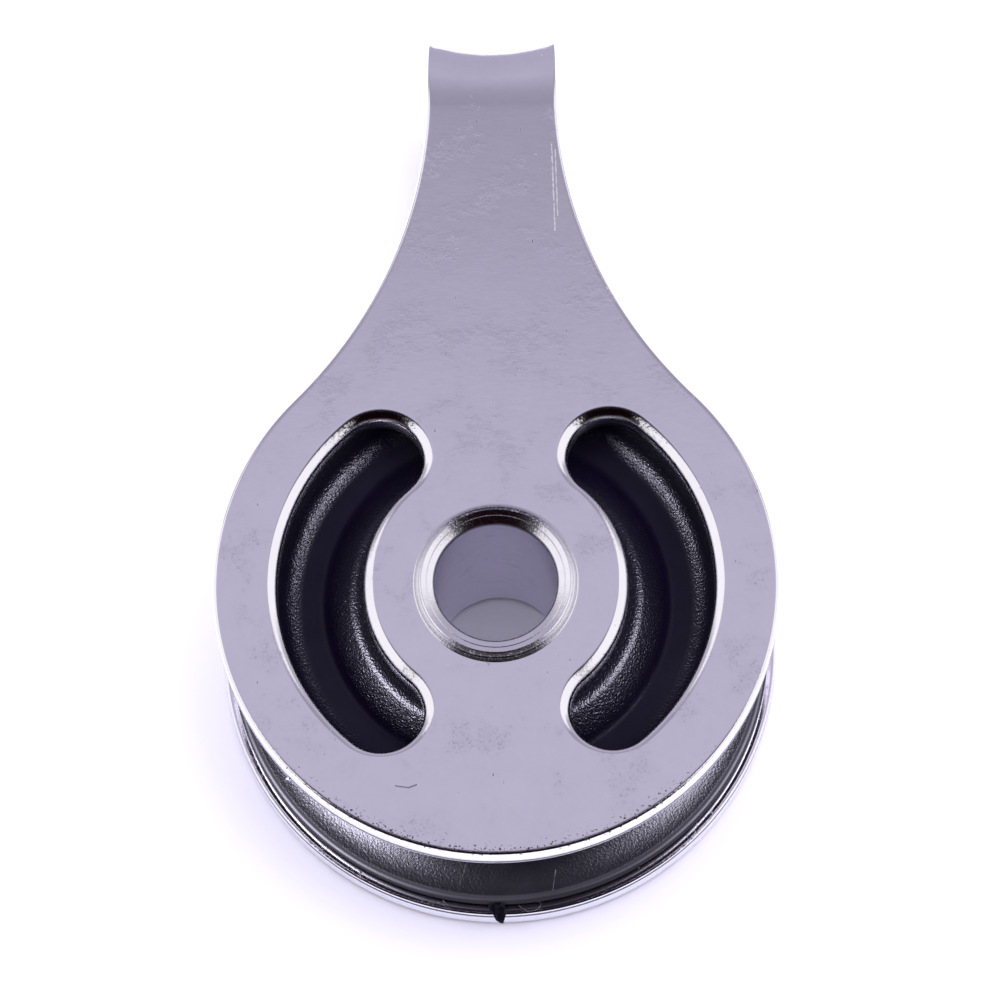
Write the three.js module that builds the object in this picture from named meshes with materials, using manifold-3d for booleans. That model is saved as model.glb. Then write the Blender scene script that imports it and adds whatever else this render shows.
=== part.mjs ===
// Small single-sheave strap block for cord and light rope. Millimetres, +Z up.
// It lies on its rear side: the axle stands along Z, +Y points to the folded end of the strap, and +Z to
// the front cheek. The origin is on the surface it lies on, under the middle of its outline.
import * as THREE from 'three';
import { mergeVertices } from 'three/addons/utils/BufferGeometryUtils.js';
import Module from 'manifold-3d';

// Strap: a flat blank, folded round so that its two cheeks face each other.
const CHEEK_RADIUS = 14;
const PLATE = 1.5;
const CHEEK_GAP = 9.2;
const BEND_CENTRE = 25.6; // from the axle to the centre of the fold
const STRIP_HALF_WIDTH = 3.3; // narrowest half width of the neck
const NECK_ARC_TOP = 26.2; // where the neck's side arcs run out into the strip, from the axle

// Kidney windows: arc slots about the axle, one on each side.
const WINDOW_MID_RADIUS = 8.7;
const WINDOW_HALF_WIDTH = 2.12;
const WINDOW_HALF_ANGLE = THREE.MathUtils.degToRad(49);

// Axle: a hollow rivet, with a spacer sleeve over it between the cheeks.
const RIVET_BORE_RADIUS = 3.05;
const RIVET_RADIUS = 3.6;
const HEAD_RADIUS = 4.1;
const HEAD_RISE = 0.4; // how far each rolled end stands over its cheek
const HEAD_ROUND = 0.25; // bevel that stands for the rolled end's round edge
const SLEEVE_RADIUS = 4.6;
const FIT_CLEARANCE = 0.05; // rivet in the cheeks and in the sleeve, on the radius
const RUNNING_CLEARANCE = 0.08; // sheave on the sleeve, on the radius
const FACE_GAP = 0.02; // between faces that rest on each other

// Sheave: a moulded wheel with a rope groove in its rim and a dished channel in each side.
const SHEAVE_RADIUS = 13.6;
const SHEAVE_WIDTH = 8.7;
const GROOVE_ROOT_RADIUS = 10.2;
const LIP_WIDTH = 0.55; // flat of the rim at each side of the groove
const DISH_DEPTH = 1.6;
const DISH_INNER_RADIUS = 7.2; // where the hub's side starts to slope down
const DISH_INNER_RUN = 1.25; // radial run of the slope on the hub
const DISH_OUTER_RADIUS = 10.6; // where the rim's side starts to slope down
const DISH_OUTER_RUN = 0.75; // radial run of the slope on the rim

// Facets.
const CHEEK_STEPS = 48;
const NECK_STEPS = 12;
const WINDOW_STEPS = 16;
const CAP_STEPS = 12;
const BEND_STEPS = 24;
const HOLE_STEPS = 48;
const SHEAVE_STEPS = 60;
const GROOVE_STEPS = 10;

// Worked out from the values above.
const HALF_GAP = CHEEK_GAP / 2;
const HALF_THICKNESS = HALF_GAP + PLATE;
const LENGTH = CHEEK_RADIUS + BEND_CENTRE + HALF_THICKNESS;
// The neck's side arc touches the strip's side and the cheek's circle.
const NECK_RADIUS =
  (STRIP_HALF_WIDTH ** 2 + NECK_ARC_TOP ** 2 - CHEEK_RADIUS ** 2) /
  (2 * (CHEEK_RADIUS - STRIP_HALF_WIDTH));
const NECK_CENTRE_X = STRIP_HALF_WIDTH + NECK_RADIUS;
const NECK_MEETS_CHEEK = Math.atan2(NECK_ARC_TOP, NECK_CENTRE_X);
const NECK_CUT_ANGLE = Math.asin((NECK_ARC_TOP - BEND_CENTRE) / NECK_RADIUS);
const BEND_HALF_WIDTH = NECK_CENTRE_X - NECK_RADIUS * Math.cos(NECK_CUT_ANGLE);

const wasm = await Module();
wasm.setup();

// Points of an arc from angle a to angle b, both ends included.
function arc(x, y, radius, a, b, steps) {
  const points = [];
  for (let i = 0; i <= steps; i++) {
    const t = a + ((b - a) * i) / steps;
    points.push(new THREE.Vector2(x + radius * Math.cos(t), y + radius * Math.sin(t)));
  }
  return points;
}

// The closed geometry as a solid that can be joined.
function solid(geometry) {
  geometry.deleteAttribute('normal');
  geometry.deleteAttribute('uv');
  const merged = mergeVertices(geometry, 1e-4);
  const mesh = new wasm.Mesh({
    numProp: 3,
    vertProperties: merged.attributes.position.array,
    triVerts: new Uint32Array(merged.index.array),
  });
  return new wasm.Manifold(mesh);
}

// A joined solid as a geometry again.
function geometryOf(body) {
  const mesh = body.getMesh();
  const geometry = new THREE.BufferGeometry();
  geometry.setAttribute('position', new THREE.BufferAttribute(mesh.vertProperties, mesh.numProp));
  geometry.setIndex(new THREE.BufferAttribute(mesh.triVerts, 1));
  geometry.computeVertexNormals();
  return geometry;
}

// Right half of the blank's outline, from the bottom of the cheek up to the start of the fold.
function halfOutline() {
  const cheek = arc(0, 0, CHEEK_RADIUS, -Math.PI / 2, NECK_MEETS_CHEEK, CHEEK_STEPS / 2);
  const neck = arc(
    NECK_CENTRE_X,
    NECK_ARC_TOP,
    NECK_RADIUS,
    Math.PI + NECK_MEETS_CHEEK,
    Math.PI + NECK_CUT_ANGLE,
    NECK_STEPS,
  );
  return cheek.concat(neck.slice(1));
}

// One kidney window: side is 1 for the right one and -1 for the left one.
function windowHole(side) {
  const middle = side > 0 ? 0 : Math.PI;
  const a = middle - WINDOW_HALF_ANGLE;
  const b = middle + WINDOW_HALF_ANGLE;
  const cap = (angle, from) =>
    arc(
      WINDOW_MID_RADIUS * Math.cos(angle),
      WINDOW_MID_RADIUS * Math.sin(angle),
      WINDOW_HALF_WIDTH,
      from,
      from + Math.PI,
      CAP_STEPS,
    ).slice(1, -1);
  const outer = arc(0, 0, WINDOW_MID_RADIUS + WINDOW_HALF_WIDTH, a, b, WINDOW_STEPS);
  const inner = arc(0, 0, WINDOW_MID_RADIUS - WINDOW_HALF_WIDTH, b, a, WINDOW_STEPS);
  return new THREE.Path([...outer, ...cap(b, b), ...inner, ...cap(a, a + Math.PI)]);
}

// A cheek and its neck, from height z up.
function cheek(z) {
  const right = halfOutline();
  const left = right
    .slice(1)
    .reverse()
    .map((p) => new THREE.Vector2(-p.x, p.y));
  const shape = new THREE.Shape([...right, ...left]);
  const hole = arc(0, 0, RIVET_RADIUS + FIT_CLEARANCE, 0, 2 * Math.PI, HOLE_STEPS);
  shape.holes.push(new THREE.Path(hole.slice(0, -1)), windowHole(1), windowHole(-1));
  const plate = new THREE.ExtrudeGeometry(shape, { depth: PLATE, bevelEnabled: false });
  return solid(plate.translate(0, 0, z));
}

// The fold: a half ring in the Y-Z plane, as wide as the strip.
function fold() {
  const outer = arc(BEND_CENTRE, 0, HALF_THICKNESS, -Math.PI / 2, Math.PI / 2, BEND_STEPS);
  const inner = arc(BEND_CENTRE, 0, HALF_GAP, Math.PI / 2, -Math.PI / 2, BEND_STEPS);
  const ring = new THREE.ExtrudeGeometry(new THREE.Shape([...outer, ...inner]), {
    depth: 2 * BEND_HALF_WIDTH,
    bevelEnabled: false,
  });
  const upright = new THREE.Matrix4().set(0, 0, 1, -BEND_HALF_WIDTH, 1, 0, 0, 0, 0, 1, 0, 0, 0, 0, 0, 1);
  return solid(ring.applyMatrix4(upright));
}

function strap() {
  const body = cheek(HALF_GAP).add(cheek(-HALF_THICKNESS)).add(fold());
  return geometryOf(body);
}

// A turned piece about Z from a profile of [radius, z] pairs that runs anticlockwise.
function turned(profile, steps) {
  const points = profile.map(([r, z]) => new THREE.Vector2(r, z));
  points.push(points[0].clone());
  const lathe = new THREE.LatheGeometry(points, steps);
  return lathe.rotateX(Math.PI / 2);
}

// The same profile points below the middle plane, in reverse order, so that a profile closes.
function mirrored(half) {
  const below = [...half].reverse().map(([r, z]) => [r, -z]);
  return [...below, ...half];
}

function hollowRivet() {
  const under = HALF_THICKNESS + FACE_GAP;
  const top = HALF_THICKNESS + HEAD_RISE;
  const half = [
    [RIVET_RADIUS, under],
    [HEAD_RADIUS, under],
    [HEAD_RADIUS, top - HEAD_ROUND],
    [HEAD_RADIUS - HEAD_ROUND, top],
    [RIVET_BORE_RADIUS + HEAD_ROUND, top],
    [RIVET_BORE_RADIUS, top - HEAD_ROUND],
  ];
  return turned(mirrored(half), HOLE_STEPS);
}

function spacerSleeve() {
  const half = [
    [SLEEVE_RADIUS, HALF_GAP - FACE_GAP],
    [RIVET_RADIUS + FIT_CLEARANCE, HALF_GAP - FACE_GAP],
  ];
  return turned(mirrored(half), HOLE_STEPS);
}

// The rope groove is one arc, from the root up to the inner edge of a lip.
function grooveHalf() {
  const depth = SHEAVE_RADIUS - GROOVE_ROOT_RADIUS;
  const halfMouth = SHEAVE_WIDTH / 2 - LIP_WIDTH;
  const radius = (depth ** 2 + halfMouth ** 2) / (2 * depth);
  const end = Math.asin(halfMouth / radius);
  const points = [];
  for (let i = 1; i <= GROOVE_STEPS; i++) {
    const t = (end * (i - 0.5)) / (GROOVE_STEPS - 0.5);
    points.push([GROOVE_ROOT_RADIUS + radius * (1 - Math.cos(t)), radius * Math.sin(t)]);
  }
  return points;
}

function sheave() {
  const side = SHEAVE_WIDTH / 2;
  const half = [
    ...grooveHalf(),
    [SHEAVE_RADIUS, side],
    [DISH_OUTER_RADIUS, side],
    [DISH_OUTER_RADIUS - DISH_OUTER_RUN, side - DISH_DEPTH],
    [DISH_INNER_RADIUS + DISH_INNER_RUN, side - DISH_DEPTH],
    [DISH_INNER_RADIUS, side],
    [SLEEVE_RADIUS + RUNNING_CLEARANCE, side],
  ];
  return turned(mirrored(half), SHEAVE_STEPS);
}

function piece(name, geometry, color, roughness, metalness) {
  const material = new THREE.MeshStandardMaterial({ color, roughness, metalness });
  const mesh = new THREE.Mesh(geometry, material);
  mesh.name = name;
  return mesh;
}

const block = new THREE.Group();
block.position.set(0, CHEEK_RADIUS - LENGTH / 2, HALF_THICKNESS + HEAD_RISE);
block.add(piece('strap', strap(), 0xc9c5d8, 0.16, 1));
block.add(piece('hollow_rivet', hollowRivet(), 0xd4d0e0, 0.2, 1));
block.add(piece('spacer_sleeve', spacerSleeve(), 0xb99a55, 0.35, 1));
block.add(piece('sheave', sheave(), 0x15131c, 0.5, 0));

export default block;
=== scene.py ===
import math
import random

import bmesh
import bpy
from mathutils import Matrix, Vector
from mathutils.geometry import tessellate_polygon
from mathutils.noise import noise_vector, seed_set


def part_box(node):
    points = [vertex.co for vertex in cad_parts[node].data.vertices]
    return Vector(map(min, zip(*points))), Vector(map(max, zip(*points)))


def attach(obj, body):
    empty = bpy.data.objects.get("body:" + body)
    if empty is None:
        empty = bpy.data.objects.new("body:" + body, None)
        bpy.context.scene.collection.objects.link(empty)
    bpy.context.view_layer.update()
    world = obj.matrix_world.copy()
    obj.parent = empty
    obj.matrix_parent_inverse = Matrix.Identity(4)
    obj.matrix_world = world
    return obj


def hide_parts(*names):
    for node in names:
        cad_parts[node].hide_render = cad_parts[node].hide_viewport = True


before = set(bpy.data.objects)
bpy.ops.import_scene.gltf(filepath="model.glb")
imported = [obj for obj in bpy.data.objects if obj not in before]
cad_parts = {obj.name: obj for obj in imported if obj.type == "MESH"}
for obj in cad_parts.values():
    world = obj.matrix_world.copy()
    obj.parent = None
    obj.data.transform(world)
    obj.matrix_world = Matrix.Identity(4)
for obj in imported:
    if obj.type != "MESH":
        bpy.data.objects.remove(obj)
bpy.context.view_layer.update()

MM = 0.001

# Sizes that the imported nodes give.
strap_low, strap_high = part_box("strap")
rivet_low, rivet_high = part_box("hollow_rivet")
sleeve_low, sleeve_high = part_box("spacer_sleeve")
sheave_low, sheave_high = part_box("sheave")
AXLE = (rivet_low + rivet_high) / 2
CHEEK_RADIUS = AXLE.y - strap_low.y
THICKNESS = strap_high.z - strap_low.z
HALF_THICKNESS = THICKNESS / 2
HEAD_RISE = rivet_high.z - strap_high.z
HEAD_RADIUS = (rivet_high.x - rivet_low.x) / 2
SLEEVE_RADIUS = (sleeve_high.x - sleeve_low.x) / 2
SLEEVE_HALF = (sleeve_high.z - sleeve_low.z) / 2
SHEAVE_RADIUS = (sheave_high.x - sheave_low.x) / 2
SHEAVE_HALF = (sheave_high.z - sheave_low.z) / 2
BEND_CENTRE = strap_high.y - HALF_THICKNESS - AXLE.y

# Sizes of the strap that its box does not give.
PLATE = 1.5 * MM
STRIP_HALF = 3.3 * MM
NECK_TOP = 26.2 * MM
WINDOW_RADIUS = 8.7 * MM
WINDOW_HALF = 2.12 * MM
WINDOW_ANGLE = math.radians(49)
HOLE_RADIUS = 3.65 * MM
SADDLE = 0.82 * MM  # how far the fold's edges stand out past its middle
SAG = 0.45 * MM  # how far its middle falls short of a true half circle

# Sizes of the rivet and the sheave.
BORE_RADIUS = 3.05 * MM
TUBE_RADIUS = 3.6 * MM
CROWN_OUTSIDE = 3.78 * MM  # where the rivet's rolled end starts to fall away to its outside
CROWN_EDGE = 3.93 * MM  # where the rolled end's outer ridge stops
SHEAVE_BORE = 4.68 * MM
GROOVE_ROOT = 10.2 * MM
LIP_WIDTH = 0.55 * MM
LIP_ROUND = 0.27 * MM
DISH_DEPTH = 1.6 * MM
DISH_MIDDLE = 9.15 * MM  # from the axle to the middle of the dish's smooth floor
DISH_TOP = 11.02 * MM  # from the axle to where the dish starts to fall from the rim's side

GATE_SEED = 7
BLACK = (0.0, 0.0, 0.0, 1.0)


# ---------------------------------------------------------------- node trees

class Wire:
    """A socket in a node tree. Arithmetic on it adds Math nodes."""

    def __init__(self, tree, socket):
        self.tree = tree
        self.socket = socket

    def maths(self, operation, *values):
        return self.tree.add("ShaderNodeMath", {"operation": operation}, dict(enumerate(values)))

    def __add__(self, other):
        return self.maths("ADD", self, other)

    def __radd__(self, other):
        return self.maths("ADD", other, self)

    def __sub__(self, other):
        return self.maths("SUBTRACT", self, other)

    def __rsub__(self, other):
        return self.maths("SUBTRACT", other, self)

    def __mul__(self, other):
        return self.maths("MULTIPLY", self, other)

    def __rmul__(self, other):
        return self.maths("MULTIPLY", other, self)

    def __truediv__(self, other):
        return self.maths("DIVIDE", self, other)

    def size(self):
        return self.maths("ABSOLUTE", self)

    def root(self):
        return self.maths("SQRT", self)

    def over(self, other):
        return self.maths("MAXIMUM", self, other)

    def under(self, other):
        return self.maths("MINIMUM", self, other)

    def step(self, low, high):
        """0 below low, 1 above high and smooth between; low may be the larger one."""
        inputs = {"Value": self, "From Min": low, "From Max": high}
        return self.tree.add("ShaderNodeMapRange", {"interpolation_type": "SMOOTHSTEP"}, inputs)


class Tree:
    """A node tree that is written as expressions."""

    def __init__(self, owner):
        owner.use_nodes = True
        self.nodes = owner.node_tree.nodes
        self.links = owner.node_tree.links
        self.nodes.clear()

    def add(self, kind, settings=None, inputs=None, output=0):
        """Adds a node: its settings first, then its sockets' values or links. Gives the output named."""
        node = self.nodes.new(kind)
        for name, value in (settings or {}).items():
            if name == "stops":
                self.set_stops(node.color_ramp, value)
            else:
                setattr(node, name, value)
        for name, value in (inputs or {}).items():
            if isinstance(value, Wire):
                self.links.new(value.socket, node.inputs[name])
            else:
                node.inputs[name].default_value = value
        return Wire(self, node.outputs[output]) if node.outputs else None

    def set_stops(self, ramp, stops):
        while len(ramp.elements) < len(stops):
            ramp.elements.new(1.0)
        for element, (place, colour) in zip(ramp.elements, stops):
            element.position = place
            element.color = (*colour, 1.0)

    def mix(self, a, b, factor, blend="MIX"):
        settings = {"data_type": "RGBA", "blend_type": blend}
        return self.add("ShaderNodeMix", settings, {0: factor, 6: a, 7: b}, output=2)

    def place(self, shift=(0, 0, 0), scale=(1, 1, 1)):
        """The point on the piece, in metres in the part's frame, shifted and then stretched."""
        here = self.add("ShaderNodeTexCoord", output="Object")
        moved = self.add("ShaderNodeVectorMath", {"operation": "ADD"}, {0: here, 1: shift})
        return self.add("ShaderNodeVectorMath", {"operation": "MULTIPLY"}, {0: moved, 1: scale})

    def noise(self, where, grain, detail=2.0, roughness=0.5):
        """Fractal noise whose patches are about grain metres across, from 0 to 1."""
        inputs = {"Vector": where, "Scale": 1 / grain, "Detail": detail, "Roughness": roughness}
        return self.add("ShaderNodeTexNoise", {}, inputs, output="Fac")

    def cells(self, where, size, output="Distance"):
        inputs = {"Vector": where, "Scale": 1 / size}
        return self.add("ShaderNodeTexVoronoi", {"feature": "F1"}, inputs, output=output)

    def parts(self, vector):
        """The X, Y and Z of a vector."""
        first = self.add("ShaderNodeSeparateXYZ", {}, {0: vector})
        return [Wire(self, output) for output in first.socket.node.outputs]

    def bump(self, height, depth, normal=None):
        """Relief of the given depth in metres, on top of an earlier relief if one is given."""
        inputs = {"Height": height, "Distance": depth, "Strength": 1.0}
        if normal:
            inputs["Normal"] = normal
        return self.add("ShaderNodeBump", {}, inputs, output="Normal")

    def stroke(self, x, y, start, end, width):
        """1 on a straight scratch between two points in the X-Y plane, fading to 0 at its width."""
        along = (end[0] - start[0], end[1] - start[1])
        square = along[0] ** 2 + along[1] ** 2
        dx = x - start[0]
        dy = y - start[1]
        share = (dx * (along[0] / square) + dy * (along[1] / square)).over(0.0).under(1.0)
        off_x = dx - share * along[0]
        off_y = dy - share * along[1]
        return (off_x * off_x + off_y * off_y).root().step(width, width * 0.3)

    def finish(self, base, roughness, metallic, normal, uniform):
        """The surface shader. uniform holds the values that are the same all over."""
        inputs = {"Base Color": base, "Roughness": roughness, "Metallic": metallic, "Normal": normal}
        inputs.update(uniform)
        surface = self.add("ShaderNodeBsdfPrincipled", {}, inputs)
        self.add("ShaderNodeOutputMaterial", {}, {"Surface": surface})


def new_material(name):
    material = bpy.data.materials.new(name)
    return material, Tree(material)


# ---------------------------------------------------------------- finishes

def from_axle(tree):
    """Sideways and upright offsets from the axle, the distance from it, and the height."""
    x, y, z = tree.parts(tree.place(shift=(-AXLE.x, -AXLE.y, 0)))
    return x, y, (x * x + y * y).root(), z


def scattered(tree, shift, size, radius, share):
    """Round spots: one in a share of cells of the given size, up to radius across, as a 0 to 1 mask."""
    where = tree.place(shift=shift)
    lot = tree.parts(tree.cells(where, size, output="Color"))[0]
    reach = lot.step(1 - share, 1.0) * (radius / size)
    return (reach - tree.cells(where, size)).step(-0.15 * radius / size, 0.35 * radius / size)


def face_marks(tree, x, y, on_front):
    """The long handling scratch beside the neck and the short nick below a window."""
    dashes = tree.noise(tree.place(scale=(3, 1, 1)), 0.3 * MM, 3, 0.7).step(0.36, 0.6)
    scratch = tree.stroke(x, y, (3.0 * MM, 23.3 * MM), (3.12 * MM, 18.6 * MM), 0.034 * MM)
    second = tree.stroke(x, y, (3.18 * MM, 23.0 * MM), (3.27 * MM, 19.4 * MM), 0.026 * MM)
    bend = (-4.35 * MM, -10.52 * MM)
    nick = tree.stroke(x, y, (-5.0 * MM, -10.42 * MM), bend, 0.04 * MM)
    nick = nick.over(tree.stroke(x, y, bend, (-3.95 * MM, -10.38 * MM), 0.05 * MM))
    return scratch.over(second) * dashes * on_front, nick * on_front


def plated_steel():
    """Bright plated sheet: fine ripple, pits, plating specks, scratches, torn rims, and rims that face
    the near side painted dark as a painted dark reflection.
    """
    material, tree = new_material("plated_steel")
    here = tree.place()
    x, y, radius, z = from_axle(tree)
    facing_x, facing_y, facing_z = tree.parts(tree.add("ShaderNodeTexCoord", output="Normal"))
    face_top = AXLE.z + HALF_THICKNESS
    on_front = z.step(face_top - 0.3 * MM, face_top - 0.1 * MM)
    lines = tree.noise(tree.place(scale=(0.4, 1, 1)), 0.35 * MM, 4, 0.65)
    ripple = tree.noise(here, 0.5 * MM, 4, 0.7)
    swell = tree.noise(here, 4.5 * MM, 2)
    blotches = tree.noise(here, 2.6 * MM, 6, 0.7)
    worn = blotches.step(0.52, 0.68)
    scratch, nick = face_marks(tree, x, y, on_front)
    pits = scattered(tree, (0.031, 0.017, 0), 0.55 * MM, 0.06 * MM, 0.16)
    specks = scattered(tree, (0.013, 0.007, 0.003), 0.8 * MM, 0.055 * MM, 0.12)
    frost = tree.noise(here, 0.16 * MM, 3, 0.7).step(0.56, 0.72) * worn
    near_rim = radius.step(CHEEK_RADIUS - 0.85 * MM, CHEEK_RADIUS - 0.2 * MM)
    low = (0 - y / radius).step(0.55, 0.85) * near_rim
    chips = (tree.noise(here, 0.17 * MM, 2, 0.7) + 0.11 * low).step(0.685, 0.73)
    chips = chips * low.step(0.0, 0.3) * on_front
    rim = facing_z.size().step(0.995, 0.93)
    grit = tree.noise(tree.place(shift=(0.004, 0, 0)), 0.17 * MM, 3, 0.7)
    jagged = rim * (0 - facing_y).step(0.05, 0.4)
    # Where a rim faces the near side its colour is darkened: a painted dark reflection with a ragged,
    # torn-looking edge.
    to_near_end = 0.8 * (grit - 0.5) - facing_y - 0.95 * facing_x.size()
    torn = to_near_end.step(0.06, 0.14) * rim * facing_z.size().step(0.5, 0.66)
    shade = 1.06 - 0.16 * blotches - 0.5 * pits - 0.85 * chips - 0.3 * nick
    # The rims facing the near side are painted dark here: a painted dark reflection.
    shade = shade * (1 - 0.85 * torn)
    base = tree.mix(BLACK, (0.88, 0.86, 0.88, 1.0), shade.over(0.05))
    roughness = 0.075 + 0.06 * worn + 0.2 * frost + 0.3 * scratch + 0.35 * specks
    fine = (0.9 * lines + ripple) * (0.8 + 1.5 * worn)
    normal = tree.bump(swell, 0.004 * MM)
    normal = tree.bump(fine, 0.0014 * MM, normal)
    normal = tree.bump(frost + 1.5 * specks - 1.3 * pits, 0.005 * MM, normal)
    normal = tree.bump(0 - 0.5 * chips - 0.6 * scratch - 0.8 * nick, 0.01 * MM, normal)
    normal = tree.bump(grit * (0.2 * rim + 0.7 * jagged), 0.016 * MM, normal)
    tree.finish(base, roughness, 1.0, normal, {})
    return material


def sheared_edge():
    """The cut edge of the sheet: bright, with a dark torn line next to the inner face."""
    material, tree = new_material("sheared_edge")
    x, y, radius, z = from_axle(tree)
    drag = tree.noise(tree.place(scale=(1, 1, 0.1)), 0.22 * MM, 3)
    grain = tree.noise(tree.place(), 0.2 * MM, 4, 0.65)
    depth = (z - AXLE.z).size() - (HALF_THICKNESS - PLATE) + 0.12 * MM * (grain - 0.5)
    line = depth.step(0.14 * MM, 0.2 * MM) * depth.step(0.5 * MM, 0.4 * MM)
    shade = (0.86 + 0.14 * grain) * (1 - 0.88 * line)
    base = tree.mix(BLACK, (0.92, 0.94, 1.0, 1.0), shade)
    roughness = 0.16 + 0.12 * grain + 0.2 * line
    normal = tree.bump(drag, 0.008 * MM, tree.bump(grain, 0.008 * MM))
    tree.finish(base, roughness, 1.0, normal, {})
    return material


def rolled_steel():
    """The rivet: turning marks round the axle, fine tears where the ends were rolled over, a painted
    dark reflection on the rolled slopes that face the near side, and painted shade and painted lavender
    reflected light in the bore.
    """
    material, tree = new_material("rolled_steel")
    here = tree.place()
    x, y, radius, z = from_axle(tree)
    rings = tree.add("ShaderNodeCombineXYZ", {}, {0: radius, 1: z, 2: 0.0})
    lathe_marks = tree.noise(rings, 0.1 * MM, 3)
    dents = tree.noise(here, 0.5 * MM, 4, 0.6)
    tears = tree.noise(here, 0.13 * MM, 4, 0.7)
    outside = radius.step(BORE_RADIUS + 0.02 * MM, BORE_RADIUS + 0.1 * MM)
    # Darker blotches, only inside the bore.
    bore_blotches = tree.noise(tree.place(scale=(1, 1, 2.5)), 1.1 * MM, 5, 0.7).step(0.58, 0.75)
    bore_blotches = bore_blotches * (1 - outside)
    # A dark ring at the bore's mouth and down the top of the bore wall: painted shade.
    mouth = radius.step(BORE_RADIUS + 0.1 * MM, BORE_RADIUS + 0.04 * MM)
    mouth = mouth * z.step(rivet_high.z - 0.6 * MM, rivet_high.z - 0.45 * MM)
    ragged = 0.6 * (tears - 0.5)
    inner_slope = radius.step(CROWN_EDGE + 0.02 * MM, CROWN_EDGE - 0.03 * MM)
    outer_slope = radius.step(CROWN_OUTSIDE - 0.02 * MM, CROWN_OUTSIDE + 0.02 * MM)
    # Rolled slopes that face the near side are painted dark: a painted dark reflection, given a ragged
    # edge like the tears.
    far = (y / radius + ragged).step(0.76, 0.82) * outside * inner_slope
    near = (ragged - y / radius).step(0.8, 0.86) * outer_slope
    torn = far.over(near) * tears.step(0.64, 0.54)
    # Here the colour is darkened by painted shade at the bore's mouth and by the painted dark reflection
    # on near-facing slopes.
    shade = (0.97 - 0.1 * dents - 0.3 * bore_blotches) * (1 - 0.8 * mouth) * (1 - 0.75 * torn)
    # Inside the bore the colour is a dimmer lavender: painted reflected light.
    tone = tree.mix((0.84, 0.81, 0.95, 1.0), (0.9, 0.88, 0.91, 1.0), outside)
    base = tree.mix(BLACK, tone, shade)
    roughness = 0.1 + 0.08 * dents + 0.1 * (1 - outside)
    normal = tree.bump(lathe_marks, 0.004 * MM, tree.bump(dents, 0.004 * MM))
    normal = tree.bump(tears * (0.14 + 0.86 * outside), 0.012 * MM, normal)
    tree.finish(base, roughness, 1.0, normal, {})
    return material


def turned_brass():
    """The sleeve: turned all over, a little stained and never polished."""
    material, tree = new_material("turned_brass")
    here = tree.place()
    rings = tree.noise(tree.place(scale=(0.05, 0.05, 1)), 0.1 * MM, 3)
    stain = tree.noise(here, 1.2 * MM, 4, 0.6)
    base = tree.mix((0.62, 0.46, 0.2, 1.0), (0.8, 0.64, 0.34, 1.0), stain)
    tree.finish(base, 0.28 + 0.15 * stain, 1.0, tree.bump(rings, 0.004 * MM), {})
    return material


def black_nylon():
    """Moulded nylon: pebble grain, except on the floor of each dish and on the round lips."""
    material, tree = new_material("black_nylon")
    here = tree.place()
    x, y, radius, z = from_axle(tree)
    height = (z - AXLE.z).size()
    web = (radius - DISH_MIDDLE).size().step(0.85 * MM, 0.5 * MM)
    in_dish = height.step(SHEAVE_HALF - DISH_DEPTH - 0.4 * MM, SHEAVE_HALF - DISH_DEPTH - 0.2 * MM)
    in_dish = in_dish * radius.step(DISH_TOP + 0.18 * MM, DISH_TOP + 0.08 * MM)
    lip = radius.step(SHEAVE_RADIUS - 0.42 * MM, SHEAVE_RADIUS - 0.3 * MM)
    grained = 1 - 0.96 * (web * in_dish).over(lip)
    grain = tree.noise(here, 0.115 * MM, 1, 0.6)
    scuffs = tree.noise(tree.place(scale=(1, 1, 0.5)), 1.4 * MM, 4, 0.6)
    dust = scattered(tree, (0.02, 0.01, 0), 0.9 * MM, 0.05 * MM, 0.14)
    base = tree.mix((0.0018, 0.001, 0.005, 1.0), (0.0038, 0.0024, 0.009, 1.0), scuffs)
    base = tree.mix(base, (0.2, 0.19, 0.21, 1.0), dust * grained)
    roughness = 0.27 + 0.08 * scuffs + 0.14 * lip
    in_groove = height.step(SHEAVE_HALF - 0.3 * MM, SHEAVE_HALF - 0.5 * MM)
    in_groove = in_groove * radius.step(GROOVE_ROOT - 0.1 * MM, GROOVE_ROOT)
    normal = tree.bump(grain * grained * (1 - 0.6 * in_groove * (1 - in_dish)), 0.04 * MM)
    tree.finish(base, roughness, 0.0, normal, {"Specular IOR Level": 0.14})
    return material


def flash_nylon():
    """Thin torn flash, which catches the light more than the black moulding does."""
    material, tree = new_material("flash_nylon")
    pale = tree.noise(tree.place(), 0.3 * MM, 3, 0.6)
    base = tree.mix((0.03, 0.026, 0.03, 1.0), (0.24, 0.22, 0.25, 1.0), pale.step(0.35, 0.65))
    normal = tree.bump(tree.noise(tree.place(), 0.08 * MM, 2), 0.02 * MM)
    tree.finish(base, 0.35 + 0.2 * pale, 0.0, normal, {"Specular IOR Level": 0.5})
    return material


def pale_floor():
    """Matt white card with a barely visible grain."""
    material, tree = new_material("pale_floor")
    tone = tree.noise(tree.place(), 0.2, 2)
    base = tree.mix((0.90, 0.90, 0.90, 1.0), (0.92, 0.92, 0.92, 1.0), tone)
    normal = tree.bump(tree.noise(tree.place(), 0.4 * MM, 2), 0.002 * MM)
    tree.finish(base, 0.9, 0.0, normal, {"Specular IOR Level": 0.1})
    return material


# ---------------------------------------------------------------- mesh helpers

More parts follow.
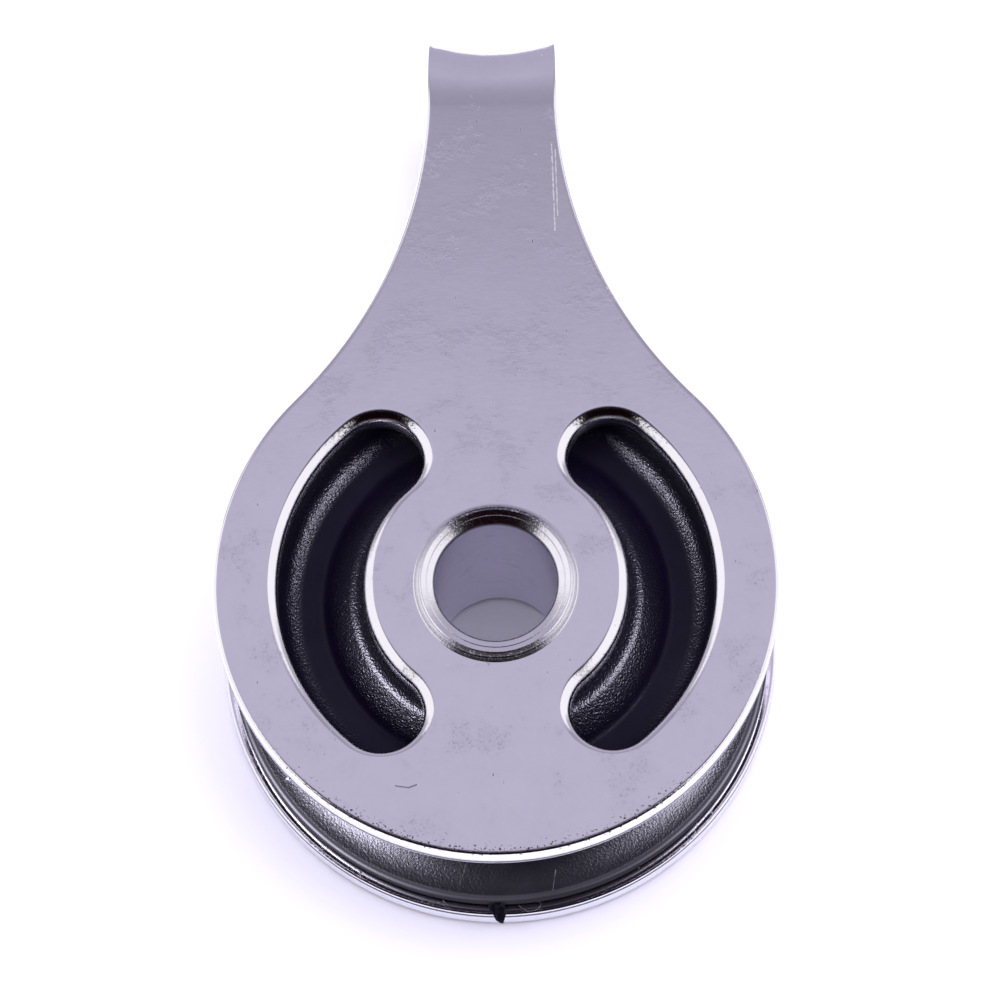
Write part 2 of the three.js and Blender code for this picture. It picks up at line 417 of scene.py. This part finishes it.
def mesh_piece(name, points, faces, face_slots, materials, body, node, slot):
    """A smooth mesh in the part's frame that rides on a body and stands for a CAD node."""
    mesh = bpy.data.meshes.new(name)
    mesh.from_pydata([tuple(p) for p in points], [], faces)
    for material in materials:
        mesh.materials.append(material)
    mesh.polygons.foreach_set("material_index", face_slots)
    mesh.polygons.foreach_set("use_smooth", [True] * len(faces))
    form = bmesh.new()
    form.from_mesh(mesh)
    bmesh.ops.remove_doubles(form, verts=form.verts, dist=0.0001 * MM)
    bmesh.ops.recalc_face_normals(form, faces=form.faces)
    form.to_mesh(mesh)
    form.free()
    piece = bpy.data.objects.new(name, mesh)
    bpy.context.scene.collection.objects.link(piece)
    weighted = piece.modifiers.new("even_shading", "WEIGHTED_NORMAL")
    weighted.weight = 50
    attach(piece, body)
    if node:
        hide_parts(node)
    return piece


def rounded_outline(corners, steps=6):
    """A closed outline of (a, b, radius) corners with each corner rounded by its radius."""
    points = []
    count = len(corners)
    for i, (a, b, radius) in enumerate(corners):
        here = Vector((a, b))
        before = Vector(corners[i - 1][:2])
        after = Vector(corners[(i + 1) % count][:2])
        to_before = (before - here).normalized()
        to_after = (after - here).normalized()
        half = to_before.angle(to_after) / 2
        if radius <= 0 or half > math.radians(89.5):
            points.append(here)
            continue
        reach = radius / math.tan(half)
        centre = here + (to_before + to_after).normalized() * (radius / math.sin(half))
        start = here + to_before * reach - centre
        end = here + to_after * reach - centre
        turn = start.angle_signed(end)
        for k in range(steps + 1):
            swing = -turn * k / steps
            cos, sin = math.cos(swing), math.sin(swing)
            turned = Vector((start.x * cos - start.y * sin, start.x * sin + start.y * cos))
            points.append(centre + turned)
    return points


def turned_mesh(outline, steps):
    """Points and faces of a closed outline of (radius, height) points, turned about the axle."""
    points, faces = [], []
    rows = len(outline)
    for k in range(steps):
        angle = 2 * math.pi * k / steps
        for p in outline:
            points.append(AXLE + Vector((p.x * math.cos(angle), p.x * math.sin(angle), p.y)))
    for k in range(steps):
        here, there = k * rows, (k + 1) % steps * rows
        for i in range(rows):
            j = (i + 1) % rows
            faces.append((here + i, there + i, there + j, here + j))
    return points, faces


def both_ends(half):
    """Corners of the upper half of a turned outline, with the lower half added as its mirror."""
    return [(a, -b, r) for a, b, r in reversed(half)] + list(half)


# ---------------------------------------------------------------- strap

FOLD_MID_RADIUS = HALF_THICKNESS - PLATE / 2
FOLD_HALF = FOLD_MID_RADIUS * math.pi / 2
REACH = BEND_CENTRE + FOLD_HALF  # along the flat blank from the fold's middle to an axle
NECK_RADIUS = (STRIP_HALF ** 2 + NECK_TOP ** 2 - CHEEK_RADIUS ** 2) / (2 * (CHEEK_RADIUS - STRIP_HALF))
NECK_X = STRIP_HALF + NECK_RADIUS
NECK_ANGLE = math.atan2(NECK_TOP, NECK_X)
JOIN = 12.0 * MM  # from the axle, where the slit cheek ends and the plain neck starts
COLUMNS = 10  # strips across the neck
MARGIN = 0.1 * MM  # flat ring next to each rounding, which keeps the faces' shading level

# (inset, drop, angle at which it leaves the face) of the rounding, on the outer and the inner face.
NEAR_END_CUT = 0.62  # share of a hole's rounding that is missing at the hole's near end
OUTLINE_ROUND = ((0.2 * MM, 0.2 * MM, 0.0), (0.12 * MM, 0.12 * MM, 0.0))
WINDOW_ROUND = ((0.52 * MM, 0.44 * MM, math.radians(17)), (0.15 * MM, 0.15 * MM, 0.0))
HOLE_ROUND = ((0.1 * MM, 0.1 * MM, 0.0), (0.1 * MM, 0.1 * MM, 0.0))


def arc(centre, radius, a, b, steps, inward=False):
    """Points of an arc, each with the direction that leads off the plate there."""
    made = []
    for i in range(steps + 1):
        t = a + (b - a) * i / steps
        away = Vector((math.cos(t), math.sin(t)))
        made.append((Vector(centre) + away * radius, -away if inward else away))
    return made


def half_edge():
    """The right edge of one half of the flat blank, from the cheek's bottom to the fold's middle."""
    edge = arc((0, 0), CHEEK_RADIUS, -math.pi / 2, NECK_ANGLE, 110)
    edge += arc((NECK_X, NECK_TOP), NECK_RADIUS, math.pi + NECK_ANGLE, math.pi, 48, inward=True)[1:]
    rows = 36
    for i in range(1, rows + 1):
        edge.append((Vector((STRIP_HALF, NECK_TOP + (REACH - NECK_TOP) * i / rows)), Vector((1, 0))))
    return edge


def window_edge(side):
    """The rim of one kidney window, as arcs that follow each other round it."""
    middle = 0 if side > 0 else math.pi
    a, b = middle - WINDOW_ANGLE, middle + WINDOW_ANGLE
    outer, inner = WINDOW_RADIUS + WINDOW_HALF, WINDOW_RADIUS - WINDOW_HALF

    def cap(angle, start):
        centre = (WINDOW_RADIUS * math.cos(angle), WINDOW_RADIUS * math.sin(angle))
        return arc(centre, WINDOW_HALF, start, start + math.pi, 30, inward=True)[1:-1]

    rim = arc((0, 0), outer, a, b, 48, inward=True)
    rim += cap(b, b)
    rim += arc((0, 0), inner, b, a, 36)
    return rim + cap(a, a + math.pi)


def rolled_over(width, drop, start, steps):
    """Steps of a rounding from a face out to an edge, as (inset, drop). Its first slope is start."""
    made = []
    for i in range(steps + 1):
        t = start + (math.pi / 2 - start) * i / steps
        inset = width * (1 - math.sin(t)) / (1 - math.sin(start))
        made.append((inset, drop * (1 - math.cos(t) / math.cos(start))))
    return made


def section(outer, inner):
    """(inset, height) down the edge of the plate, from its outer face to its inner face."""
    upper = [(inset, PLATE / 2 - drop) for inset, drop in rolled_over(*outer, 7)]
    lower = [(inset, drop - PLATE / 2) for inset, drop in reversed(rolled_over(*inner, 4))]
    return [(outer[0] + MARGIN, PLATE / 2)] + upper + lower + [(inner[0] + MARGIN, -PLATE / 2)]


def folded(x, u, w):
    """Where a point of the flat blank lies once it is folded: u along it, w out of its face."""
    turn = max(-math.pi / 2, min(math.pi / 2, u / FOLD_MID_RADIUS))
    share = x / STRIP_HALF
    flare = (SADDLE * share * share - SAG) * math.cos(turn) ** 2
    radius = FOLD_MID_RADIUS + w + flare
    straight = max(0.0, abs(u) - FOLD_HALF)
    y = BEND_CENTRE + radius * math.cos(turn) - straight
    return AXLE + Vector((x, y, radius * math.sin(turn)))


def evened(n, closed):
    """The share of the full rounding at an edge point: a hole keeps less of it at its near end."""
    return 1 - NEAR_END_CUT * max(0.0, n.y) if closed else 1.0


class Sheet:
    """The folded sheet as a mesh that is filled loop by loop. Slot 1 is for the cut edges."""

    def __init__(self):
        self.points = []
        self.faces = []
        self.slots = []

    def point(self, side, flip, p, height):
        """Adds a point of the flat blank; side is 1 for the front half and -1 for the rear half."""
        self.points.append(folded(flip * p.x, side * (REACH - p.y), height))
        return len(self.points) - 1

    def face(self, corners, slot=0):
        self.faces.append(tuple(corners))
        self.slots.append(slot)

    def edge_band(self, side, flip, loop, profile, closed):
        """The rounded and cut edge along one loop of (point, outward direction) pairs."""
        rows = []
        for inset, height in profile:
            row = []
            for p, n in loop:
                share = evened(n, closed)
                level = math.copysign(PLATE / 2 - (PLATE / 2 - abs(height)) * share, height)
                row.append(self.point(side, flip, p - n * inset * share, level))
            rows.append(row)
        count = len(loop) if closed else len(loop) - 1
        for k in range(len(profile) - 1):
            cut = profile[k][0] == 0 and profile[k + 1][0] == 0
            upper, lower = rows[k], rows[k + 1]
            for i in range(count):
                j = (i + 1) % len(loop)
                self.face((upper[i], upper[j], lower[j], lower[i]), int(cut))

    def cheek_face(self, side, height, outline, rims):
        """One flat face of the slit cheek, between its outline and the rims of its holes."""
        loops = [outline] + rims
        index = [self.point(side, 1, p, height) for loop in loops for p in loop]
        for triangle in tessellate_polygon([[p.to_3d() for p in loop] for loop in loops]):
            self.face([index[i] for i in triangle])

    def neck_face(self, side, height, line):
        """One face of the neck and of its half of the fold, in strips between its two sides."""
        rows = [[self.point(side, 1, p, height) for p in across(x_end)] for x_end in line]
        for lower, upper in zip(rows, rows[1:]):
            for i in range(COLUMNS):
                self.face((lower[i], lower[i + 1], upper[i + 1], upper[i]))


def across(end):
    """Points from the right end of a row to its left end."""
    return [Vector((end.x * (1 - 2 * i / COLUMNS), end.y)) for i in range(COLUMNS + 1)]


def strap():
    sheet = Sheet()
    edge = half_edge()
    windows = [window_edge(1), window_edge(-1)]
    hole = arc((0, 0), HOLE_RADIUS, 2 * math.pi, 0, 96, inward=True)[:-1]
    for side in (1, -1):
        for flip in (1, -1):
            sheet.edge_band(side, flip, edge, section(*OUTLINE_ROUND), closed=False)
        for window in windows:
            sheet.edge_band(side, 1, window, section(*WINDOW_ROUND), closed=True)
        sheet.edge_band(side, 1, hole, section(*HOLE_ROUND), closed=True)
        for k, height in enumerate((PLATE / 2, -PLATE / 2)):
            line = [p - n * (OUTLINE_ROUND[k][0] + MARGIN) for p, n in edge]
            low = [p for p in line if p.y <= JOIN]
            left = [Vector((-p.x, p.y)) for p in reversed(low[1:-1])]
            rims = []
            for loop, width in zip(windows + [hole], [WINDOW_ROUND[k][0]] * 2 + [HOLE_ROUND[k][0]]):
                rims.append([p - n * (width + MARGIN) * evened(n, True) for p, n in loop])
            sheet.cheek_face(side, height, low[:-1] + across(low[-1]) + left, rims)
            sheet.neck_face(side, height, line[len(low) - 1:])
    made = (sheet.points, sheet.faces, sheet.slots)
    return mesh_piece("strap_folded", *made, [STEEL, CUT], "shell", "strap", "strap_steel")


# ---------------------------------------------------------------- turned pieces

def rivet():
    under = HALF_THICKNESS + 0.02 * MM
    top = HALF_THICKNESS + HEAD_RISE
    ridges = [
        (TUBE_RADIUS, under, 0.05 * MM),
        (HEAD_RADIUS, under, 0.03 * MM),
        (HEAD_RADIUS, under + 0.13 * MM, 0.06 * MM),
        (3.99 * MM, under + 0.14 * MM, 0.02 * MM),
        (3.965 * MM, under + 0.08 * MM, 0.02 * MM),
        (CROWN_EDGE, top - 0.17 * MM, 0.04 * MM),
        (3.86 * MM, top - 0.06 * MM, 0.04 * MM),
        (3.8 * MM, top - 0.075 * MM, 0.02 * MM),
        (3.72 * MM, top, 0.07 * MM),
        (3.46 * MM, top - 0.13 * MM, 0.03 * MM),
        (3.41 * MM, top - 0.115 * MM, 0.03 * MM),
    ]
    mouth = [(BORE_RADIUS, top - 0.29 * MM, 0.06 * MM), (BORE_RADIUS, HALF_THICKNESS - PLATE, 0)]
    flare = [(3.12 * MM, top - 0.9 * MM, 0.3 * MM), (BORE_RADIUS, top - 1.35 * MM, 0.3 * MM)]
    rear = [(a, -b, r) for a, b, r in reversed(ridges + flare)]
    points, faces = turned_mesh(rounded_outline(rear + ridges + mouth), 256)
    made = (points, faces, [0] * len(faces))
    return mesh_piece("rivet_rolled", *made, [ROLLED], "shell", "hollow_rivet", "rivet_steel")


def sleeve():
    half = [
        (SLEEVE_RADIUS, SLEEVE_HALF, 0.25 * MM),
        (TUBE_RADIUS + 0.05 * MM, SLEEVE_HALF, 0.15 * MM),
    ]
    points, faces = turned_mesh(rounded_outline(both_ends(half)), 96)
    made = (points, faces, [0] * len(faces))
    return mesh_piece("sleeve_turned", *made, [BRASS], "shell", "spacer_sleeve", "sleeve_brass")


def groove():
    """Corners of the rope groove's arc, from its lower lip to its upper lip."""
    depth = SHEAVE_RADIUS - GROOVE_ROOT
    mouth = SHEAVE_HALF - LIP_WIDTH
    radius = (depth ** 2 + mouth ** 2) / (2 * depth)
    reach = math.asin(mouth / radius) * 0.94
    made = []
    for i in range(45):
        t = reach * (i / 22 - 1)
        made.append((GROOVE_ROOT + radius * (1 - math.cos(t)), radius * math.sin(t), 0))
    return made


def sheave():
    dish_floor = SHEAVE_HALF - DISH_DEPTH
    half = [
        (SHEAVE_RADIUS - 0.02 * MM, SHEAVE_HALF - LIP_WIDTH, LIP_ROUND),
        (SHEAVE_RADIUS, SHEAVE_HALF, LIP_ROUND),
        (DISH_TOP, SHEAVE_HALF, 0.12 * MM),
        (10.4 * MM, dish_floor, 1.1 * MM),
        (8.6 * MM, dish_floor, 0.8 * MM),
        (7.15 * MM, SHEAVE_HALF, 0.7 * MM),
        (SHEAVE_BORE, SHEAVE_HALF, 0.2 * MM),
    ]
    below = [(a, -b, r) for a, b, r in reversed(half)]
    points, faces = turned_mesh(rounded_outline(below + groove() + half, 8), 256)
    made = (points, faces, [0] * len(faces))
    return mesh_piece("sheave_moulded", *made, [NYLON], "wheel", "sheave", "sheave_nylon")


def small_part(name, form, material, body):
    """A small extra piece from a bmesh, which rides on a body."""
    mesh = bpy.data.meshes.new(name)
    form.to_mesh(mesh)
    form.free()
    mesh.materials.append(material)
    mesh.polygons.foreach_set("use_smooth", [True] * len(mesh.polygons))
    made = bpy.data.objects.new(name, mesh)
    bpy.context.scene.collection.objects.link(made)
    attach(made, body)
    return made


def on_rim(angle, radius, height):
    """A point at an angle in degrees from the near side, seen from the front, about the axle."""
    turn = math.radians(angle) - math.pi / 2
    return AXLE + Vector((radius * math.cos(turn), radius * math.sin(turn), height))


def wisp(form, path, width):
    """A thin tapering hair along a path of points."""
    line = [Vector(p) for p in path]
    smooth = []
    for a, b, c, d in zip([line[0]] + line, line, line[1:], line[2:] + [line[-1]]):
        for k in range(6):
            t = k / 6
            square = (2 * a - 5 * b + 4 * c - d) * t * t
            cube = (3 * b - a - 3 * c + d) * t ** 3
            smooth.append(0.5 * (2 * b + (c - a) * t + square + cube))
    smooth.append(line[-1])
    rings = []
    for i, p in enumerate(smooth):
        ahead = (smooth[min(i + 1, len(smooth) - 1)] - smooth[max(i - 1, 0)]).normalized()
        side = ahead.cross(Vector((0.3, 0.2, 1))).normalized()
        over = ahead.cross(side)
        bulk = width * (1.1 - i / len(smooth))
        ring = []
        for k in range(6):
            t = math.pi * k / 3
            ring.append(form.verts.new(p + side * bulk * math.cos(t) + over * bulk * math.sin(t)))
        rings.append(ring)
    for lower, upper in zip(rings, rings[1:]):
        for k in range(6):
            form.faces.new((lower[k], lower[(k + 1) % 6], upper[(k + 1) % 6], upper[k]))
    form.faces.new(reversed(rings[0]))
    form.faces.new(rings[-1])


def gate_stub():
    """The torn moulding gate that is left on the rear lip of the sheave. It tapers outwards."""
    seed_set(GATE_SEED)  # noise_vector starts from the clock otherwise
    dice = random.Random(GATE_SEED)
    form = bmesh.new()
    foot = on_rim(-1.2, SHEAVE_RADIUS - 0.22 * MM, -(SHEAVE_HALF - 0.3 * MM))
    bmesh.ops.create_icosphere(form, subdivisions=5, radius=1.0)
    for v in form.verts:
        reach = 0.5 - 0.5 * v.co.y
        bulk = (0.47 - 0.2 * reach) * MM * (1 + 0.1 * math.sin(8 * v.co.x + 6 * v.co.z + 9 * reach))
        drop = -0.3 * MM * reach * reach
        sideways = v.co.x * bulk + 0.22 * MM * reach
        place = Vector((sideways, -reach * 1.1 * MM, v.co.z * bulk * 0.55 + drop))
        place += noise_vector(place / (0.26 * MM)) * 0.09 * MM
        place += Vector([dice.uniform(-1, 1) for _ in range(3)]) * 0.006 * MM
        v.co = place + foot
    return small_part("gate_stub", form, NYLON, "wheel")


def moulding_flash():
    """Curled wisps of flash about the gate and across the groove."""
    form = bmesh.new()
    low = -(SHEAVE_HALF - 0.1 * MM)
    lip = SHEAVE_RADIUS + 0.02 * MM
    paths = [
        [
            on_rim(-8.5, 12.0 * MM, -2.7 * MM),
            on_rim(-8.9, 12.6 * MM, -3.0 * MM),
            on_rim(-9.8, 13.1 * MM, -3.4 * MM),
        ],
        [
            on_rim(-12.6, lip, low),
            on_rim(-11.4, lip + 0.2 * MM, low),
            on_rim(-10.6, lip + 0.45 * MM, low),
        ],
        [
            on_rim(12.6, 12.5 * MM, -2.8 * MM),
            on_rim(11.8, 12.9 * MM, -3.2 * MM),
            on_rim(11.1, 13.3 * MM, -3.6 * MM),
        ],
        [
            on_rim(3.5, lip, low),
            on_rim(5.2, lip + 0.34 * MM, low),
            on_rim(7.4, lip + 0.3 * MM, low),
            on_rim(8.2, lip, low),
            on_rim(6.5, lip - 0.05 * MM, low + 0.2 * MM),
        ],
        [
            on_rim(-12.0, 11.3 * MM, -1.6 * MM),
            on_rim(-10.4, 11.9 * MM, -2.3 * MM),
            on_rim(-9.2, 12.2 * MM, -2.7 * MM),
        ],
    ]
    for path in paths:
        wisp(form, path, 0.024 * MM)
    return small_part("moulding_flash", form, FLASH, "wheel")


def shear_burr():
    """A flake of metal that hangs from the front cheek's cut edge."""
    form = bmesh.new()
    low = HALF_THICKNESS - PLATE
    wisp(form, [
        on_rim(-47.0, CHEEK_RADIUS - 0.05 * MM, low + 0.08 * MM),
        on_rim(-47.5, CHEEK_RADIUS + 0.03 * MM, low - 0.1 * MM),
        on_rim(-48.0, CHEEK_RADIUS + 0.06 * MM, low - 0.38 * MM),
    ], 0.12 * MM)
    return small_part("shear_burr", form, CUT, "shell")


# ---------------------------------------------------------------- studio

CEILING_TINT = (0.80, 0.765, 1.0)
LAMP_TINT = (0.84, 0.815, 1.0)
LAMP_DISTANCE = 0.7
LAMP_SIZE = 0.42
FLOOR_HALF = 4.0


def ceiling(level):
    return tuple(level * c for c in CEILING_TINT)


def studio_world():
    """White panels left and right, a grey ceiling over the far side and a dark gap at the near side."""
    world = bpy.data.worlds.new("studio")
    bpy.context.scene.world = world
    tree = Tree(world)
    x, y, z = tree.parts(tree.add("ShaderNodeTexCoord", output="Generated"))
    # Degrees from straight up, + to the far side. The dark gap's edge bows away from the middle.
    aside = x.size().under(0.35)
    lean = y.maths("ARCTAN2", y, z) * (180 / math.pi) - 110 * (aside * aside)
    stops = [
        (-92, (0.36, 0.35, 0.40)),
        (-82, (0.24, 0.23, 0.27)),
        (-72, (0.03, 0.006, 0.008)),
        (-45, (0.02, 0.006, 0.01)),
        (0, (0.012, 0.008, 0.012)),
        (9, ceiling(0.42)),
        (17, ceiling(0.475)),
        (19.6, ceiling(0.46)),
        (20.7, ceiling(0.395)),
        (21.8, ceiling(0.325)),
        (24, ceiling(0.295)),
        (33, ceiling(0.32)),
        (43, ceiling(0.375)),
        (53, ceiling(0.43)),
        (72, ceiling(0.40)),
        (90, ceiling(0.40)),
        (92, (1.0, 1.0, 1.0)),
    ]
    place = lean * (1 / 360) + 0.5
    strip = tree.add("ShaderNodeValToRGB", {"stops": [(a / 360 + 0.5, c) for a, c in stops]}, {0: place})
    edge = 0.28 + (0 - y).over(0.0) * 0.6 + (y - 0.4).over(0.0) * 0.8
    panel = x.size().step(edge * 0.88, edge * 1.25)
    corner = y.size().step(0.42, 0.6) * z.step(0.66, 0.45)
    dim = corner.over(z.step(0.2, 0.05))
    side = tree.mix((0.72, 0.715, 0.76, 1.0), (0.33, 0.32, 0.38, 1.0), dim)
    colour = tree.mix(strip, side, panel)
    shine = tree.add("ShaderNodeBackground", {}, {"Color": colour, "Strength": 1.45})
    tree.add("ShaderNodeOutputWorld", {}, {"Surface": shine})


def softbox(name, towards, power, lit):
    """A square panel that adds gloss to the lit pieces and brings out their grain."""
    data = bpy.data.lights.new(name, "AREA")
    data.energy = power
    data.color = LAMP_TINT
    data.size = LAMP_SIZE
    lamp = hang(name, data, towards)
    lamp.visible_diffuse = False
    lamp.light_linking.receiver_collection = lit


def overhead(towards, strength, spread):
    """Wide light from above that fills the floor."""
    data = bpy.data.lights.new("overhead", "SUN")
    data.energy = strength
    data.color = CEILING_TINT
    data.angle = spread
    lamp = hang("overhead", data, towards)
    lamp.visible_glossy = False


def hang(name, data, towards):
    """Puts a light out in a direction from the axle and points it back at the axle."""
    lamp = bpy.data.objects.new(name, data)
    bpy.context.scene.collection.objects.link(lamp)
    direction = Vector(towards).normalized()
    lamp.location = AXLE + direction * LAMP_DISTANCE
    lamp.rotation_euler = (-direction).to_track_quat("-Z", "Y").to_euler()
    return lamp


def floor():
    """A level sheet, far wider than the view."""
    form = bmesh.new()
    bmesh.ops.create_grid(form, x_segments=8, y_segments=8, size=FLOOR_HALF)
    mesh = bpy.data.meshes.new("studio_floor")
    form.to_mesh(mesh)
    form.free()
    mesh.materials.append(pale_floor())
    made = bpy.data.objects.new("studio_floor", mesh)
    bpy.context.scene.collection.objects.link(made)


def camera():
    """Looks down on the front cheek from the rim's end, nearly square to it."""
    elevation = math.radians(70.8)
    azimuth = math.radians(2.68)
    roll = math.radians(-3.33)
    distance = 357 * MM
    aim_right = 0.09 * MM
    aim_up = 6.09 * MM
    back = Vector((
        math.sin(azimuth) * math.cos(elevation),
        -math.cos(azimuth) * math.cos(elevation),
        math.sin(elevation),
    ))
    level = (-back).cross(Vector((0, 0, 1))).normalized()
    plumb = level.cross(-back)
    right = level * math.cos(roll) + plumb * math.sin(roll)
    up = plumb * math.cos(roll) - level * math.sin(roll)
    data = bpy.data.cameras.new("camera")
    data.lens = 256.0
    data.clip_start = 0.01
    data.clip_end = 20.0
    made = bpy.data.objects.new("camera", data)
    bpy.context.scene.collection.objects.link(made)
    made.location = AXLE + back * distance + right * aim_right + up * aim_up
    made.rotation_mode = "QUATERNION"
    turn = (-back).to_track_quat("-Z", "Y").to_matrix()
    turn.col[0] = right
    turn.col[1] = up
    turn.col[2] = back
    made.rotation_quaternion = turn.to_quaternion()
    bpy.context.scene.camera = made


STEEL = plated_steel()
CUT = sheared_edge()
ROLLED = rolled_steel()
BRASS = turned_brass()
NYLON = black_nylon()
FLASH = flash_nylon()

camera()
strap()
rivet()
sleeve()
nylon_pieces = bpy.data.collections.new("nylon_pieces")
nylon_pieces.objects.link(sheave())
gate_stub()
moulding_flash()
shear_burr()
floor()
studio_world()
overhead((0.1, 0.1, 1), 4.6, math.radians(70))
softbox("left_softbox", (-0.76, -0.36, 0.52), 84.0, nylon_pieces)
softbox("right_softbox", (0.82, -0.2, 0.60), 44.0, nylon_pieces)
bpy.context.scene.view_settings.view_transform = "Standard"
bpy.context.scene.view_settings.look = "None"
